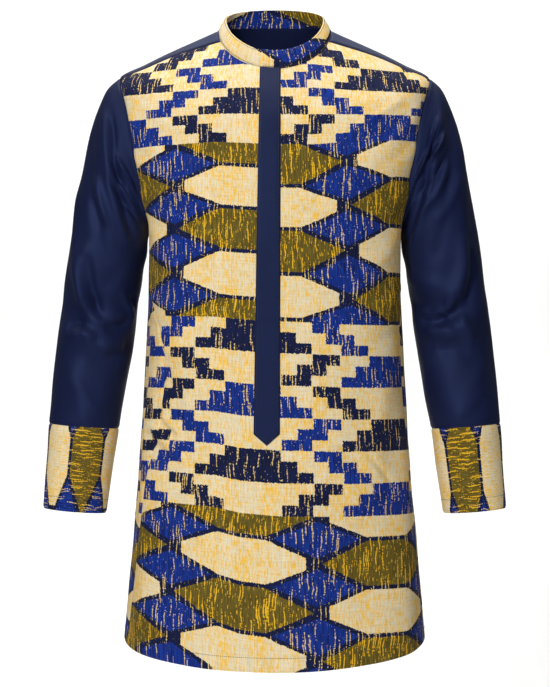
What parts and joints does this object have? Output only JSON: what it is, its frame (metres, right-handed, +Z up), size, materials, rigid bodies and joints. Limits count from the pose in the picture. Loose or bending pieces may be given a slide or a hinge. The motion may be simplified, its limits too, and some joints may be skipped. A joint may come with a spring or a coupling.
{
  "type": "tunic",
  "caption": "Long-sleeved tunic in the hollow shape it has when worn, with a stand collar, half placket, deep cuffs and a curved hem; printed body, plain navy sleeves and yoke.",
  "frame": {"origin": "midway between the high points of the two shoulders beside the neck, where the wearer's shoulders carry the garment", "axes": "+Z up, the front faces -Y, +X to the wearer's left"},
  "size_m": [0.6968, 0.3106, 0.9918],
  "materials": {
    "printed_cotton": "plain-weave printed cotton, matt, slubby",
    "navy_twill": "fine twill, piece-dyed navy, soft sheen"
  },
  "bodies": {
    "root": {"front": "printed_cotton", "back": "printed_cotton", "yoke": "navy_twill", "collar": "printed_cotton", "placket": "navy_twill", "placket_under": "navy_twill", "sleeve_left": "navy_twill", "sleeve_right": "navy_twill", "cuff_left": "printed_cotton", "cuff_right": "printed_cotton"}
  },
  "joints": []
}
